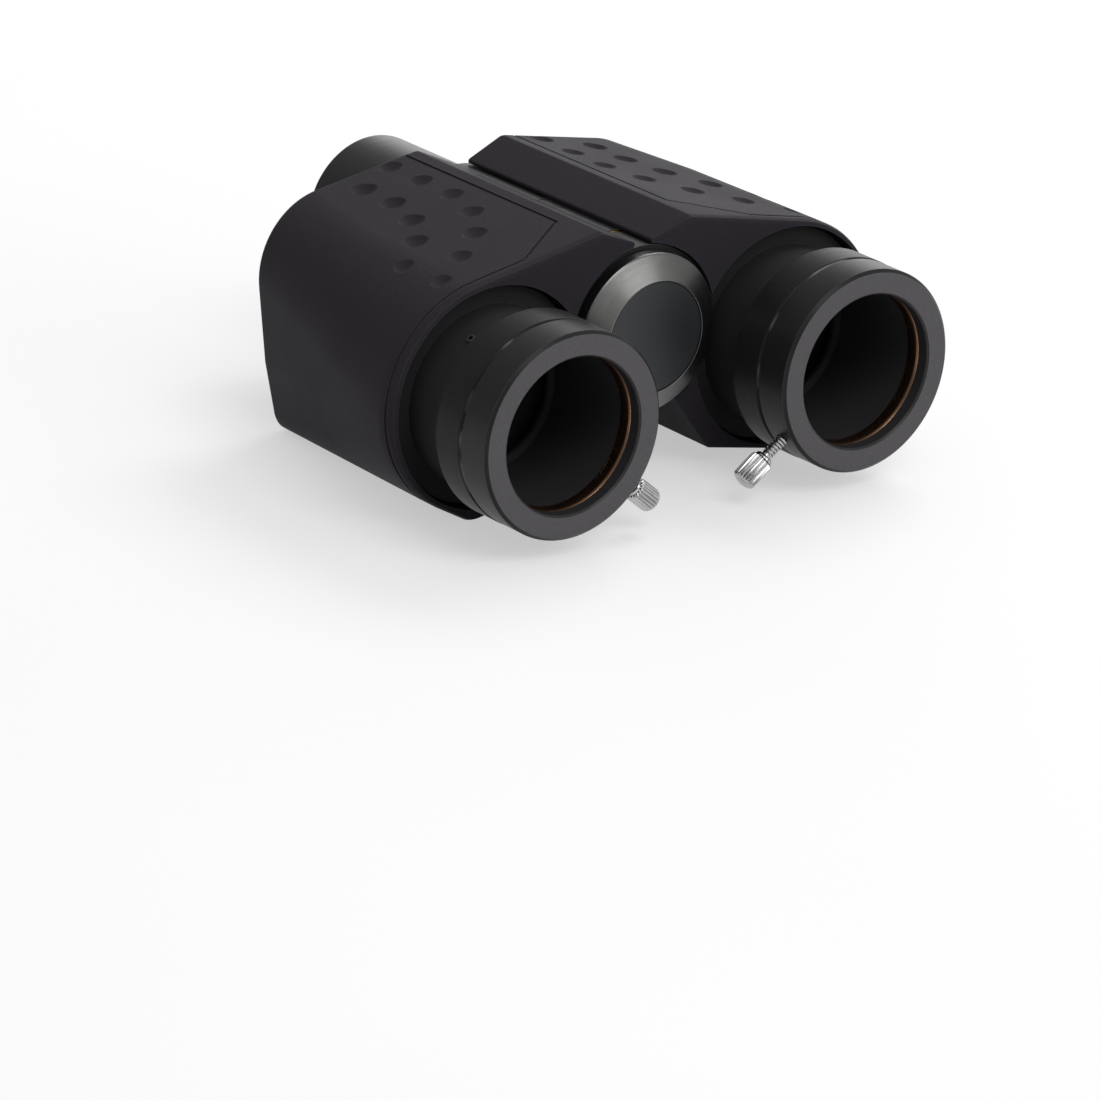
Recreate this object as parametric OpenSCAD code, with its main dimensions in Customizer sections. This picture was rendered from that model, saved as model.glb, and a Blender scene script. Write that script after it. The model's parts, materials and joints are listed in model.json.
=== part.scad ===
// Stereo viewer for a telescope: two prism housings that fold about the nosepiece axis.
// Millimetres. The hinge axis is the Y axis, the eyepieces face -Y and Z is up.
// The origin is the middle of the nosepiece's shoulder.
// Each half is drawn unfolded, reaching towards +X, and is then folded down or mirrored.

/* [Layout] */
// Distance from the hinge axis to each eyepiece axis
arm = 37.4; // [37:0.1:46]
// Angle that each half droops below level at rest
droop = 11.1; // [6:0.1:20]
// Length of the housings along the hinge
housing_l = 63.6; // [62:0.1:80]
// Angle that each top lip reaches past the vertical above the hinge
lip_over = 2.9; // [0:0.1:3]

/* [Housing] */
// Half height of each housing
half_h = 24.2; // [24:0.1:30]
// Reach of the outer side at the rear, from the hinge axis
rear_reach = 49.7; // [49:0.1:60]
// Wall of the housing
wall = 2.2; // [1.6:0.1:2.8]
// Round along the top outer edge
top_round = 17; // [8:0.5:18]
// Rise of the rear top outer edge above the inner top
top_rise = 0.4; // [0:0.1:0.8]
// Round along the bottom outer edge
bottom_round = 5; // [3:0.5:7]
// Distance from the rear end to the section where the top is fullest
shoulder_back = 23; // [15:1:30]
// Reach of the outer side at that section
shoulder_reach = 53.3; // [53:0.1:66]
// Round along the top outer edge at that section
shoulder_round = 18; // [9:0.5:19]
// Round of the side's fullest line
side_round = 9; // [6:0.5:12]
// Distance of the side's fullest line below the hinge axis
side_drop = 7.6; // [4:0.1:9]
// Round of the front and rear edges
edge_round = 1.2; // [0.6:0.1:1.6]
// Slope of the inner top chamfer
chamfer_slope = 35; // [28:1:40]
// Angle of the bottom lip below level
bottom_lip_angle = 46; // [40:1:50]
// Thickness of the rear cover
cover_t = 2; // [1.5:0.1:3]

/* [Grip] */
// Diameter of a grip dimple
dimple_d = 4.8; // [3:0.1:6]
// Depth of a grip dimple
dimple_depth = 0.7; // [0.3:0.1:1]
// Spacing of the dimples along a row
dimple_pitch = 10.5; // [8:0.1:13]
// Distance between the two rows
row_gap = 10.2; // [8:0.1:12]
// Distance from the hinge axis to the line along the grip
grip_x = 9; // [8.5:0.1:12]
// Distance from the grip's line to the first row of dimples
row_x = 5.8; // [4:0.1:8]
// Straight length of the inner row before it bends
inner_row_l = 19; // [10:0.5:24]
// Straight length of the outer row before it bends
outer_row_l = 7; // [4:0.5:12]
// Width of the line round the grip
line_w = 0.8; // [0.3:0.1:1.2]
// Depth of the line round the grip
line_depth = 0.3; // [0.2:0.1:0.6]

/* [Prisms] */
// Side of the square prism section
prism_s = 20; // [16:0.5:21]
// Gap between the two prisms along the hinge
prism_gap = 4.5; // [4:0.1:8]
// Distance from the shoulder to the first prism
prism_start = 6; // [5.5:0.1:9]

/* [Hinge] */
// Wall of the hinge tube
axle_wall = 1.2; // [1:0.1:1.6]
// Wall of the hinge knuckles
knuckle_wall = 1.5; // [1.2:0.1:2]
// Thickness of a thrust washer
washer_t = 0.6; // [0.4:0.1:1]
// Height of the disc spring
spring_h = 1.0; // [0.8:0.1:1.4]
// Step from the knuckles down to the front cap
cap_step = 1; // [0.5:0.1:2]
// Radius of the disc in the front cap
cap_disc_r = 11.6; // [9:0.1:13]
// Height of the cap's bevel
cap_bevel = 2.5; // [1:0.1:3]

/* [Eyepiece barrels] */
// Radius of the eyepiece bore
bore_r = 16; // [15.9:0.05:19.2]
// Wall of the sliding tube
tube_wall = 1.6; // [1.4:0.1:2.2]
// Wall of the neck that the tube slides in
neck_wall = 0.95; // [0.9:0.05:1.3]
// Depth of the front ring
ring_l = 8.3; // [7:0.1:10]
// Wall of the front ring round the bore
ring_wall = 5.2; // [4.6:0.1:6]
// Depth of the diopter ring
diopter_l = 8.2; // [7:0.1:10]
// Distance from the front face to the housing's front edge
barrel_out = 26; // [24:0.1:30]
// Travel of the eyepiece holder
focus_travel = 4; // [2:0.5:5]

/* [Thumbscrews] */
// Angle of the left thumbscrew below level, in the half's own frame
left_thumb_angle = 50.5; // [40:1:58]
// Angle of the right thumbscrew below level, in the half's own frame
right_thumb_angle = 47; // [40:1:58]
// Distance from the front face to the thumbscrew
thumb_y = 4.6; // [4:0.1:5]
// Radius of the thumbscrew's head
thumb_head_r = 2.5; // [2:0.1:3]
// Length of the thumbscrew's head
thumb_head_l = 7; // [5:0.1:8]
// Radius of the thumbscrew's shank
thumb_shank_r = 1.25; // [1:0.05:1.5]
// How far the left screw is drawn out of its clamping place
left_screw_out = 0.1; // [0:0.1:3]
// How far the right screw is drawn out of its clamping place
right_screw_out = 3; // [0:0.1:4]

/* [Nosepiece] */
// Radius of the nosepiece barrel
nose_r = 15.87; // [15.8:0.01:19]
// Length of the nosepiece barrel
nose_l = 29.1; // [25:0.1:40]
// Radius of the filter thread at its end
filter_r = 14.25; // [13:0.05:14.5]

/* [Fits] */
// Radial clearance of a turning fit
run_c = 0.05; // [0.03:0.01:0.09]
// Radial clearance of a sliding fit
slide_c = 0.03; // [0.02:0.01:0.05]
// Gap between curved faces that pass without touching
pass_c = 0.3; // [0.25:0.05:0.5]
// Gap round a part that drops into a seat
seat_c = 0.1; // [0.05:0.05:0.2]

/* [Hidden] */
$fn = 96;
eps = 0.01;
slice_t = 0.05;

// Stations along the hinge, all from the shoulder at 0
flange_t = 1.2;
rear_y = -1;
front_y = rear_y - housing_l;
cavity_y = front_y + 7.3;
recess_y = front_y + 4.6;
boss_straight = 5;
prism1_y = -prism_start;
prism2_y = prism1_y - prism_s - prism_gap;
washer1_y = prism1_y - prism_s - 3;
knuckle2_y = washer1_y - washer_t - run_c;
washer2_y = prism2_y - prism_s - 2;
spring_y = washer2_y - washer_t;
knuckle3_y = spring_y - spring_h;
hinge_front_y = front_y + 1.3;
cap_y = hinge_front_y - 0.4;
cap_edge_y = front_y - 1.7;

// Radii of the hinge
axle_in = prism_s * sqrt(2) / 2 + 0.86;
axle_r = axle_in + axle_wall;
knuckle_in = axle_r + run_c;
hinge_r = knuckle_in + knuckle_wall - run_c;
pocket_r = hinge_r + pass_c;
lip_r = hinge_r + 1.3;
cavity_r = pocket_r + wall;
cap_r = floor(10 * (hinge_r - cap_step)) / 10;

// Stations of the eyepiece barrels
face_y = front_y - barrel_out;
ring_y = face_y + ring_l;
diopter_y = ring_y + diopter_l;
collar_y = diopter_y + 0.4;
neck_y = collar_y + 2.2;
tube_y = front_y + 2.3;
clip_y = ring_y + 1.9;
guide_y = neck_y + 1.3;
guide_angle = 22;
guide_tip_r = 0.7;
ring_edge = 0.65;
slot_w = 2 * guide_tip_r + 0.2;

// Radii of the eyepiece barrels
tube_r = bore_r + tube_wall;
neck_in = tube_r + slide_c;
neck_r = neck_in + neck_wall;
ring_r = bore_r + ring_wall;
collar_r = neck_r + 1;
flange_r = neck_r + 3.8;
recess_r = neck_r + 4.4;
base_head_r = 1.5;
base_screw_r = neck_r + base_head_r + 0.2;

// Brass ring in its groove
brass_t = 0.8;
brass_w = 3.2;
groove_r = bore_r + brass_t + seat_c;

// Thumbscrew lengths
head_rest = ring_r + 2.2;
shank_l = head_rest - groove_r;
hole_r = thumb_shank_r + run_c;

// Corner places of a half's section
lip_tip = 0.5;
top_in_round = 1.4;
low_in_round = 1.5;
lip_a = 90 + lip_over;
lip_x = (lip_r - lip_tip) * cos(lip_a);
lip_z = (lip_r - lip_tip) * sin(lip_a);
top_in_z = half_h - top_in_round;
chamfer_d = -lip_x * sin(chamfer_slope) + lip_z * cos(chamfer_slope) + lip_tip;
top_in_x = (top_in_z * cos(chamfer_slope) + top_in_round - chamfer_d) / sin(chamfer_slope);
low_in_x = (half_h - low_in_round) / tan(bottom_lip_angle) + low_in_round * 1.8;
low_lip_x = (lip_r - lip_tip) * cos(bottom_lip_angle);
low_lip_z = -(lip_r - lip_tip) * sin(bottom_lip_angle);
low_tuck = 0.3;
top_tuck = 1.2;
low_out_x = rear_reach - low_tuck - bottom_round;
low_out_z = bottom_round - half_h;
top_out_x = rear_reach - top_tuck - top_round;
top_out_z = half_h + top_rise - top_round;
side_x = rear_reach - side_round;
shoulder_y = rear_y - shoulder_back;
top_corners = [
    [top_out_x, top_out_z, top_round],
    [shoulder_reach - shoulder_round, half_h + top_rise - shoulder_round, shoulder_round],
    [arm, 0, half_h]
];

// Small screws: shank, tapped hole and through hole
screw_r = 0.85;
tap_r = 0.9;
through_r = 1.15;

// Cover screws and their bosses, as places across the half's section
boss_c = 2.4;
cover_screw_l = 6;
cover_head_r = 2;
boss_sink = 0.4;
top_screw_in = 20;
low_screw_in = 3.5;
cover_spots = [
    [top_in_x + top_screw_in, half_h - wall - boss_c + boss_sink],
    [low_in_x + low_screw_in, wall + boss_c - boss_sink - half_h],
    [low_out_x + boss_sink, low_out_z - boss_sink]
];

// Cradle heights below the prism
cradle_t = 2;
cradle_lip = 1.2;
seat_lip = 1.3;
lip_h = 4;
post_r = 2.2;
post_in = low_in_x + wall + post_r;
post_out = low_out_x - 0.3;
prism_h = prism_s / 2;
floor_z = wall - half_h;
strap_t = 0.5;
ear_x = cavity_r + 1.5;
ear_w = 5;
ear_out = 2.4;

// Folds what is drawn for the right half into its place
module right_half() {
    rotate([0, droop, 0])
        children();
}

// Mirrors and folds what is drawn for a right half into the left half
module left_half() {
    rotate([0, -droop, 0])
        mirror([1, 0, 0])
            children();
}

// Moves to the eyepiece axis
module at_eye() {
    translate([arm, 0, 0])
        children();
}

// Solid of revolution about the Y axis, from points of radius and distance along Y
module turned(points) {
    rotate([-90, 0, 0])
        rotate_extrude()
            polygon(points);
}

// Cylinder along Y from y0 to y1
module rod_y(y0, y1, r) {
    translate([0, y0, 0])
        rotate([-90, 0, 0])
            cylinder(h = y1 - y0, r = r);
}

// Tube along Y from y0 to y1
module tube_along(y0, y1, r_out, r_in) {
    turned([[r_in, y0], [r_out, y0], [r_out, y1], [r_in, y1]]);
}

// Box from one corner to the opposite one
module block(from, to) {
    translate(from)
        cube(to - from);
}

// Points outwards from the eyepiece axis along a direction below level, in the half's frame
module inward_down(angle) {
    rotate([0, -(90 + angle), 0])
        children();
}

// Facets round a corner of a given radius
function corner_fn(r) = r < 1 ? 12 : r < 4 ? 24 : r < 10 ? 48 : 96;

// Bar along Y for one corner of the section: in_front and in_back round its ends in two steps
module bar(x, z, r, y0, y1, in_front, in_back) {
    translate([x, 0, z])
        rotate([-90, 0, 0])
            rotate_extrude($fn = corner_fn(r))
                polygon([
                    [0, y0],
                    [r - in_front, y0],
                    [r - 0.3 * in_front, y0 + 0.3 * in_front],
                    [r, y0 + in_front],
                    [r, y1 - in_back],
                    [r - 0.3 * in_back, y1 - 0.3 * in_back],
                    [r - in_back, y1],
                    [0, y1]
                ]);
}

// Round left at a corner that is drawn in by inset, and how far its centre moves in
function inner_round(r, inset) = max(r - inset, 0.2);
function inner_shift(r, inset) = inset - r + inner_round(r, inset);

// Corners of the section that run straight along the housing, drawn in by inset
module straight_bars(y0, y1, inset, end) {
    top_r = inner_round(top_in_round, inset);
    top_shift = inner_shift(top_in_round, inset);
    low_r = inner_round(low_in_round, inset);
    low_shift = inner_shift(low_in_round, inset);
    bar(top_in_x + top_shift, top_in_z - top_shift, top_r, y0, y1, end, end);
    bar(low_in_x + low_shift, low_in_round - half_h + low_shift, low_r, y0, y1, end, end);
    bar(low_out_x, low_out_z, bottom_round - inset, y0, y1, end, end);
    bar(side_x, -side_drop, side_round - inset, y0, y1, end, end);
}

// Top outer corner, which lies close in at the rear
module rear_bar(y, inset, end) {
    bar(top_out_x, top_out_z, top_round - inset, y - end - slice_t, y, 0, end);
}

// Fullest place of the top outer corner
module shoulder_bar(inset) {
    c = top_corners[1];
    bar(c[0], c[1], c[2] - inset, shoulder_y - slice_t, shoulder_y, 0, 0);
}

// Full round about the eyepiece axis at the front
module boss_bar(y, l, inset, end) {
    bar(arm, 0, half_h - inset, y, y + l, end, 0);
}

// Outside of the casting with rounded front and rear edges
module housing_form() {
    hull() {
        straight_bars(front_y, rear_y, 0, edge_round);
        rear_bar(rear_y, 0, edge_round);
        shoulder_bar(0);
        boss_bar(front_y, boss_straight, 0, edge_round);
        bar(lip_x, lip_z, lip_tip, front_y + edge_round, rear_y - edge_round, 0, 0);
        bar(low_lip_x, low_lip_z, lip_tip, front_y + edge_round, rear_y - edge_round, 0, 0);
    }
}

// Room inside the casting, open to the rear
module housing_cavity() {
    difference() {
        hull() {
            straight_bars(cavity_y, rear_y + 1, wall, 0);
            rear_bar(rear_y + 1, wall, 0);
            shoulder_bar(wall);
            boss_bar(cavity_y, 1, wall, 0);
        }
        rod_y(front_y, rear_y + 2, cavity_r);
    }
}

// Outline of the rear cover, from y0 to y1
module cover_form(y0, y1, inset, round_r) {
    difference() {
        hull() {
            straight_bars(y0, y1, inset, 0);
            bar(top_out_x, top_out_z, top_round - inset, y0, y1, 0, 0);
        }
        rod_y(y0 - 1, y1 + 1, round_r);
    }
}

// A point along a dimple row: straight from the rear, a bend, then a diagonal run.
// A row is [across, along, straight length, bend radius, pitch, number of dimples].
row_turn = 57;
grip_end_x = grip_x + 15;
line_y = front_y + 2.2;
grip_rows = [
    [grip_x + row_x, rear_y - 3.6, inner_row_l, 30, dimple_pitch, 7],
    [grip_x + row_x + row_gap, rear_y - 8.5, outer_row_l, 33, dimple_pitch - 0.3, 5]
];
function row_point(row, s) =
    let (bend_r = row[3], bend_l = bend_r * row_turn * PI / 180, past = s - row[2])
    past < 0
    ? [row.x, row.y - s]
    : past < bend_l
    ? let (a = past / bend_l * row_turn)
      [row.x + bend_r * (1 - cos(a)), row.y - row[2] - bend_r * sin(a)]
    : let (d = past - bend_l)
      [
        row.x + bend_r * (1 - cos(row_turn)) + d * sin(row_turn),
        row.y - row[2] - bend_r * sin(row_turn) - d * cos(row_turn)
      ];

// Centre and round of the top outer corner at a station: it widens evenly between its bars
function corner_at(y) = y > shoulder_y
    ? let (t = (rear_y - y) / shoulder_back)
      top_corners[0] * (1 - t) + top_corners[1] * t
    : let (t = (shoulder_y - y) / (shoulder_y - front_y))
      top_corners[1] * (1 - t) + top_corners[2] * t;

// Ball that leaves one dimple in the top, set square to the surface where it curves away
ball_r = (dimple_d * dimple_d / 4 + dimple_depth * dimple_depth) / (2 * dimple_depth);
module dimple(p) {
    c = corner_at(p.y);
    lean = max(p.x - c[0], 0) / c[2] * 180 / PI;
    reach = c[2] + ball_r - dimple_depth;
    translate([
        min(p.x, c[0]) + reach * sin(lean),
        p.y,
        lean > 0 ? c[1] + reach * cos(lean) : half_h + ball_r - dimple_depth
    ])
        sphere(r = ball_r, $fn = 48);
}

// Two nested rows of dimples
module dimples() {
    for (row = grip_rows)
        for (i = [0:row[5] - 1])
            dimple(row_point(row, i * row[4]));
}

// Incised line along the top's inner edge that turns off at the front
module grip_line() {
    turn_y = front_y + 11.5;
    top = half_h - line_depth;
    block([grip_x, turn_y, top], [grip_x + line_w, rear_y + 1, half_h + 1]);
    translate([0, 0, top])
        linear_extrude(height = 1 + line_depth)
            polygon([
                [grip_x, turn_y],
                [grip_end_x, line_y],
                [grip_end_x, line_y + line_w * 1.2],
                [grip_x + line_w, turn_y + 0.4]
            ]);
}

// Line turned round the outside of the barrel boss and carried on along the top to the grip's line
module boss_line() {
    y1 = line_y + line_w;
    intersection() {
        at_eye()
            tube_along(line_y, y1, half_h + 2, half_h - line_depth);
        block([arm, line_y - 1, -half_h], [arm + half_h + 2, y1 + 1, half_h + 2]);
    }
    block([grip_end_x - eps, line_y, half_h - line_depth], [arm + eps, y1, half_h + 1]);
}

// Casting of one half: own is the list of stations where it carries its own knuckles
module housing_half(own, prism_y) {
    difference() {
        union() {
            difference() {
                housing_form();
                housing_cavity();
            }
            intersection() {
                housing_form();
                for (p = cover_spots)
                    translate([p.x, 0, p.y])
                        rod_y(rear_y - cover_t - cover_screw_l - 2, rear_y - eps, boss_c);
            }
        }
        rod_y(front_y - 1, rear_y + 1, hinge_r);
        difference() {
            tube_along(front_y - 1, rear_y + 1, pocket_r, hinge_r - 1);
            for (s = own)
                tube_along(s[0], s[1], pocket_r + 1, hinge_r - 2);
        }
        block([0, prism_y - prism_s - 1, -prism_h - 1], [cavity_r + 2, prism_y + 1, prism_h + 1]);
        at_eye() {
            rod_y(front_y - 1, recess_y, recess_r);
            rod_y(front_y - 1, cavity_y + 1, neck_r + seat_c);
        }
        at_eye()
            screw_ring()
                rod_y(recess_y - 1, cavity_y + 1, tap_r);
        cover_form(rear_y - cover_t, rear_y + 1, wall / 2, cavity_r - 1);
        for (p = cover_spots)
            translate([p.x, 0, p.y])
                rod_y(rear_y - cover_t - cover_screw_l - 0.5, rear_y, tap_r);
        dimples();
        grip_line();
        boss_line();
    }
}

module left_housing() {
    color("#2b2b2e")
        left_half()
            housing_half(
                [[washer1_y, rear_y + 2], [hinge_front_y, knuckle3_y]],
                prism1_y
            );
}

module right_housing() {
    color("#2b2b2e")
        right_half()
            housing_half([[washer2_y, knuckle2_y]], prism2_y);
}

// Plate that closes the rear of a half
module rear_cover() {
    difference() {
        cover_form(
            rear_y - cover_t, rear_y, wall / 2 + seat_c, cavity_r - 1 + seat_c
        );
        for (p = cover_spots)
            translate([p.x, 0, p.y]) {
                rod_y(rear_y - cover_t - 1, rear_y + 1, through_r);
                turned([
                    [0, rear_y - 1.1],
                    [through_r, rear_y - 1.1],
                    [cover_head_r + 0.15, rear_y + eps],
                    [0, rear_y + eps]
                ]);
            }
    }
}

module left_rear_cover() {
    color("#242427")
        left_half()
            rear_cover();
}

module right_rear_cover() {
    color("#242427")
        right_half()
            rear_cover();
}

// Countersunk screws of the rear cover
module cover_screws() {
    for (p = cover_spots)
        translate([p.x, 0, p.y])
            difference() {
                turned([
                    [0, rear_y - cover_t - cover_screw_l],
                    [screw_r, rear_y - cover_t - cover_screw_l],
                    [screw_r, rear_y - 1.3],
                    [cover_head_r, rear_y - 0.1],
                    [0, rear_y - 0.1]
                ]);
                block([-0.3, rear_y - 0.8, -1.5], [0.3, rear_y + 1, 1.5]);
                block([-1.5, rear_y - 0.8, -0.3], [1.5, rear_y + 1, 0.3]);
            }
}

module left_cover_screws() {
    color("#4a4a4c")
        left_half()
            cover_screws();
}

module right_cover_screws() {
    color("#4a4a4c")
        right_half()
            cover_screws();
}

// Rhomboid prism that carries the light from the hinge axis to the eyepiece axis
module rhomboid(y) {
    translate([0, 0, -prism_h])
        linear_extrude(height = prism_s)
            polygon([
                [-prism_h, y],
                [arm - prism_h, y],
                [arm + prism_h, y - prism_s],
                [prism_h, y - prism_s]
            ]);
}

module left_rhomboid_prism() {
    color("#bcd3d8")
        left_half()
            rhomboid(prism1_y);
}

module right_rhomboid_prism() {
    color("#bcd3d8")
        right_half()
            rhomboid(prism2_y);
}

// Right-angled prism cemented behind the half-silvered face of the left rhomboid
module splitter_prism() {
    color("#c9dadd")
        left_half()
            translate([0, 0, -prism_h])
                linear_extrude(height = prism_s)
                    polygon([
                        [-prism_h, prism1_y],
                        [prism_h, prism1_y - prism_s],
                        [-prism_h, prism1_y - prism_s]
                    ]);
}

// Glass block that gives the left beam the same glass path as the right one
block_y = prism1_y - prism_s - 0.6;
module compensator_block() {
    color("#c9dadd")
        left_half()
            block(
                [arm - prism_h, block_y - prism_s, -prism_h],
                [arm + prism_h, block_y, prism_h]
            );
}

// Post from the housing floor up to the cradle
module cradle_post(x, y) {
    translate([x, y, floor_z])
        cylinder(h = -prism_h - cradle_t - floor_z + eps, r = post_r);
}

// Tray under a rhomboid prism, with two lips and two ears for the strap
module prism_cradle(y) {
    z1 = -prism_h;
    z0 = z1 - cradle_t;
    block([ear_x, y - prism_s + 1, z0], [arm + 5, y - 1, z1]);
    for (edge = [y + seat_c, y - prism_s - seat_c - cradle_lip])
        block([ear_x, edge, z0], [ear_x + ear_w, edge + cradle_lip, z1 + lip_h]);
    block([ear_x, y - 1.1, z0], [ear_x + ear_w, y + ear_out, z1]);
    block([ear_x, y - prism_s - ear_out, z0], [ear_x + ear_w, y - prism_s + 1.1, z1]);
    cradle_post(post_in, y - prism_s / 2);
    cradle_post(post_in, y - prism_s + 4);
    cradle_post(arm + 2.5, y - prism_s + 4);
}

// Seat of the compensator block, joined to the cradle by a neck
module block_seat() {
    z1 = -prism_h;
    z0 = z1 - cradle_t;
    x0 = arm - prism_h;
    x1 = arm + prism_h;
    seat_front = block_y - prism_s + 2;
    block([x0 - seat_lip, seat_front, z0], [x1 + seat_lip, block_y + 1.8, z1]);
    block([x0 - seat_lip, seat_front, z0], [x0 - seat_c, block_y - 6, z1 + lip_h]);
    block([x1 + seat_c, seat_front, z0], [x1 + seat_lip, block_y - 3, z1 + lip_h]);
    cradle_post(arm - 6, block_y - prism_s + 5);
    cradle_post(min(arm + 6, post_out), block_y - prism_s + 5);
}

module left_prism_cradle() {
    color("#8b8d90")
        left_half() {
            prism_cradle(prism1_y);
            block_seat();
        }
}

module right_prism_cradle() {
    color("#8b8d90")
        right_half()
            prism_cradle(prism2_y);
}

// Sprung steel strap over a prism: a bridge with two legs that stand on the ears
module prism_strap(y) {
    y0 = y + seat_c + cradle_lip + seat_c;
    y1 = y - prism_s - seat_c - cradle_lip - seat_c;
    translate([ear_x + 0.5, 0, 0])
        rotate([90, 0, 90])
            linear_extrude(height = ear_w - 1)
                polygon([
                    [y0, -prism_h],
                    [y0 + strap_t, -prism_h],
                    [y0 + strap_t, prism_h + strap_t],
                    [y1 - strap_t, prism_h + strap_t],
                    [y1 - strap_t, -prism_h],
                    [y1, -prism_h],
                    [y1, prism_h],
                    [y0, prism_h]
                ]);
}

module left_prism_strap() {
    color("#a8a9ab")
        left_half()
            prism_strap(prism1_y);
}

module right_prism_strap() {
    color("#a8a9ab")
        right_half()
            prism_strap(prism2_y);
}

// Strap over the compensator block, hooked over the lips of its seat
module compensator_strap() {
    x0 = arm - prism_h - seat_lip - seat_c;
    x1 = arm + prism_h + seat_lip + seat_c;
    z0 = -prism_h - cradle_t / 2;
    color("#a8a9ab")
        left_half()
            translate([0, block_y - prism_s + 10, 0])
                rotate([90, 0, 0])
                    linear_extrude(height = 4)
                        polygon([
                            [x0, z0],
                            [x0 - strap_t, z0],
                            [x0 - strap_t, prism_h + strap_t],
                            [x1 + strap_t, prism_h + strap_t],
                            [x1 + strap_t, z0],
                            [x1, z0],
                            [x1, prism_h],
                            [x0, prism_h]
                        ]);
}

// Opening that the right prism sweeps in the hinge tube as the viewer folds and opens.
// In the left half's frame the right half points 180 + 2 * droop round from +X, towards +Z.
sweep_in = asin((prism_h + 1) / axle_in);
fold_room = 70;
open_room = 16;
module hinge_tube() {
    a0 = 180 + 2 * droop - sweep_in - open_room;
    a1 = 180 + 2 * droop + sweep_in + fold_room;
    far = axle_r * 4;
    color("#9a9b9d")
        left_half()
            difference() {
                tube_along(hinge_front_y - 0.4, -flange_t, axle_r, axle_in);
                block(
                    [0, prism1_y - prism_s - 1, -prism_h - 1],
                    [far, prism1_y + 1, prism_h + 1]
                );
                translate([0, prism2_y - prism_s - 1, 0])
                    rotate([-90, 0, 0])
                        linear_extrude(height = prism_s + 2)
                            polygon(concat(
                                [[0, 0]],
                                [for (i = [0:6]) let (a = -(a0 + (a1 - a0) * i / 6))
                                    [far * cos(a), far * sin(a)]]
                            ));
            }
}

// One knuckle of the hinge, with a window for its prism if window_y is given
module knuckle(y0, y1, r_in, window_y) {
    difference() {
        tube_along(y0, y1, hinge_r, r_in);
        if (window_y != 0)
            block(
                [0, window_y - prism_s - 1, -prism_h - 1],
                [hinge_r + 1, window_y + 1, prism_h + 1]
            );
    }
}

module left_rear_knuckle() {
    color("#8a8b8e")
        left_half()
            knuckle(washer1_y, -flange_t, axle_r, prism1_y);
}

module left_front_knuckle() {
    color("#8a8b8e")
        left_half()
            knuckle(hinge_front_y, knuckle3_y, axle_r, 0);
}

module right_knuckle() {
    color("#8a8b8e")
        right_half()
            knuckle(washer2_y + run_c, knuckle2_y, knuckle_in, prism2_y);
}

module rear_thrust_washer() {
    color("#c8a24a")
        tube_along(washer1_y - washer_t, washer1_y, hinge_r - 0.2, axle_r);
}

module front_thrust_washer() {
    color("#c8a24a")
        tube_along(washer2_y - washer_t, washer2_y, hinge_r - 0.2, axle_r);
}

// Conical disc spring that loads the hinge for its friction
module tension_spring() {
    t = 0.35;
    y0 = spring_y - spring_h;
    color("#b8babd")
        turned([
            [axle_r, y0],
            [hinge_r - 0.4, spring_y - t],
            [hinge_r - 0.4, spring_y],
            [axle_r, y0 + t]
        ]);
}

// Threaded plug that closes the front of the hinge tube
module hinge_plug() {
    y0 = hinge_front_y + 2.2;
    color("#6c6d70")
        difference() {
            rod_y(y0, y0 + 3, axle_in);
            for (a = [0, 180])
                rotate([0, a, 0])
                    translate([axle_in * 0.6, 0, 0])
                        rod_y(y0 - 1, y0 + 1.6, 1);
        }
}

// Bevelled ring on the front of the hinge, with a spigot in the hinge tube
module cap_ring() {
    color("#a4a7ac")
        turned([
            [0, cap_y + 2.6],
            [axle_in, cap_y + 2.6],
            [axle_in, cap_y],
            [cap_r, cap_y],
            [cap_r, cap_edge_y + 0.3],
            [cap_r - 0.3, cap_edge_y],
            [cap_disc_r + 0.2, cap_edge_y - cap_bevel],
            [cap_disc_r, cap_edge_y - cap_bevel],
            [cap_disc_r, cap_edge_y - cap_bevel + 0.9],
            [0, cap_edge_y - cap_bevel + 0.9]
        ]);
}

// Plain disc let into the cap
module cap_disc() {
    y0 = cap_edge_y - cap_bevel + 0.15;
    r = cap_disc_r - seat_c;
    color("#6d7480")
        turned([
            [0, y0],
            [r - 0.15, y0],
            [r, y0 + 0.15],
            [r, cap_edge_y - cap_bevel + 0.9],
            [0, cap_edge_y - cap_bevel + 0.9]
        ]);
}

// Barrel that slides into the telescope, with a flange and a spigot in the hinge tube
module nosepiece() {
    bore = filter_r - 0.7;
    spigot_bore = min(bore, axle_in - 1.2);
    spigot_y = -prism_start + 1.4;
    color("#1f1f21")
        turned([
            [spigot_bore, spigot_y],
            [axle_in, spigot_y],
            [axle_in, -flange_t],
            [hinge_r - 0.3, -flange_t],
            [hinge_r - 0.3, -0.3],
            [hinge_r - 0.6, 0],
            [nose_r, 0],
            [nose_r, nose_l - 0.6],
            [nose_r - 0.6, nose_l],
            [filter_r, nose_l],
            [filter_r, nose_l - 5],
            [bore, nose_l - 5],
            [bore, 3],
            [spigot_bore, 0]
        ]);
}

// Blackened stop in the nosepiece
module nosepiece_baffle() {
    r = filter_r - 0.7;
    color("#101011")
        turned([[prism_h + 0.4, 5], [r, 4], [r, 6], [prism_h + 0.8, 6], [prism_h + 0.4, 5.4]]);
}

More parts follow.
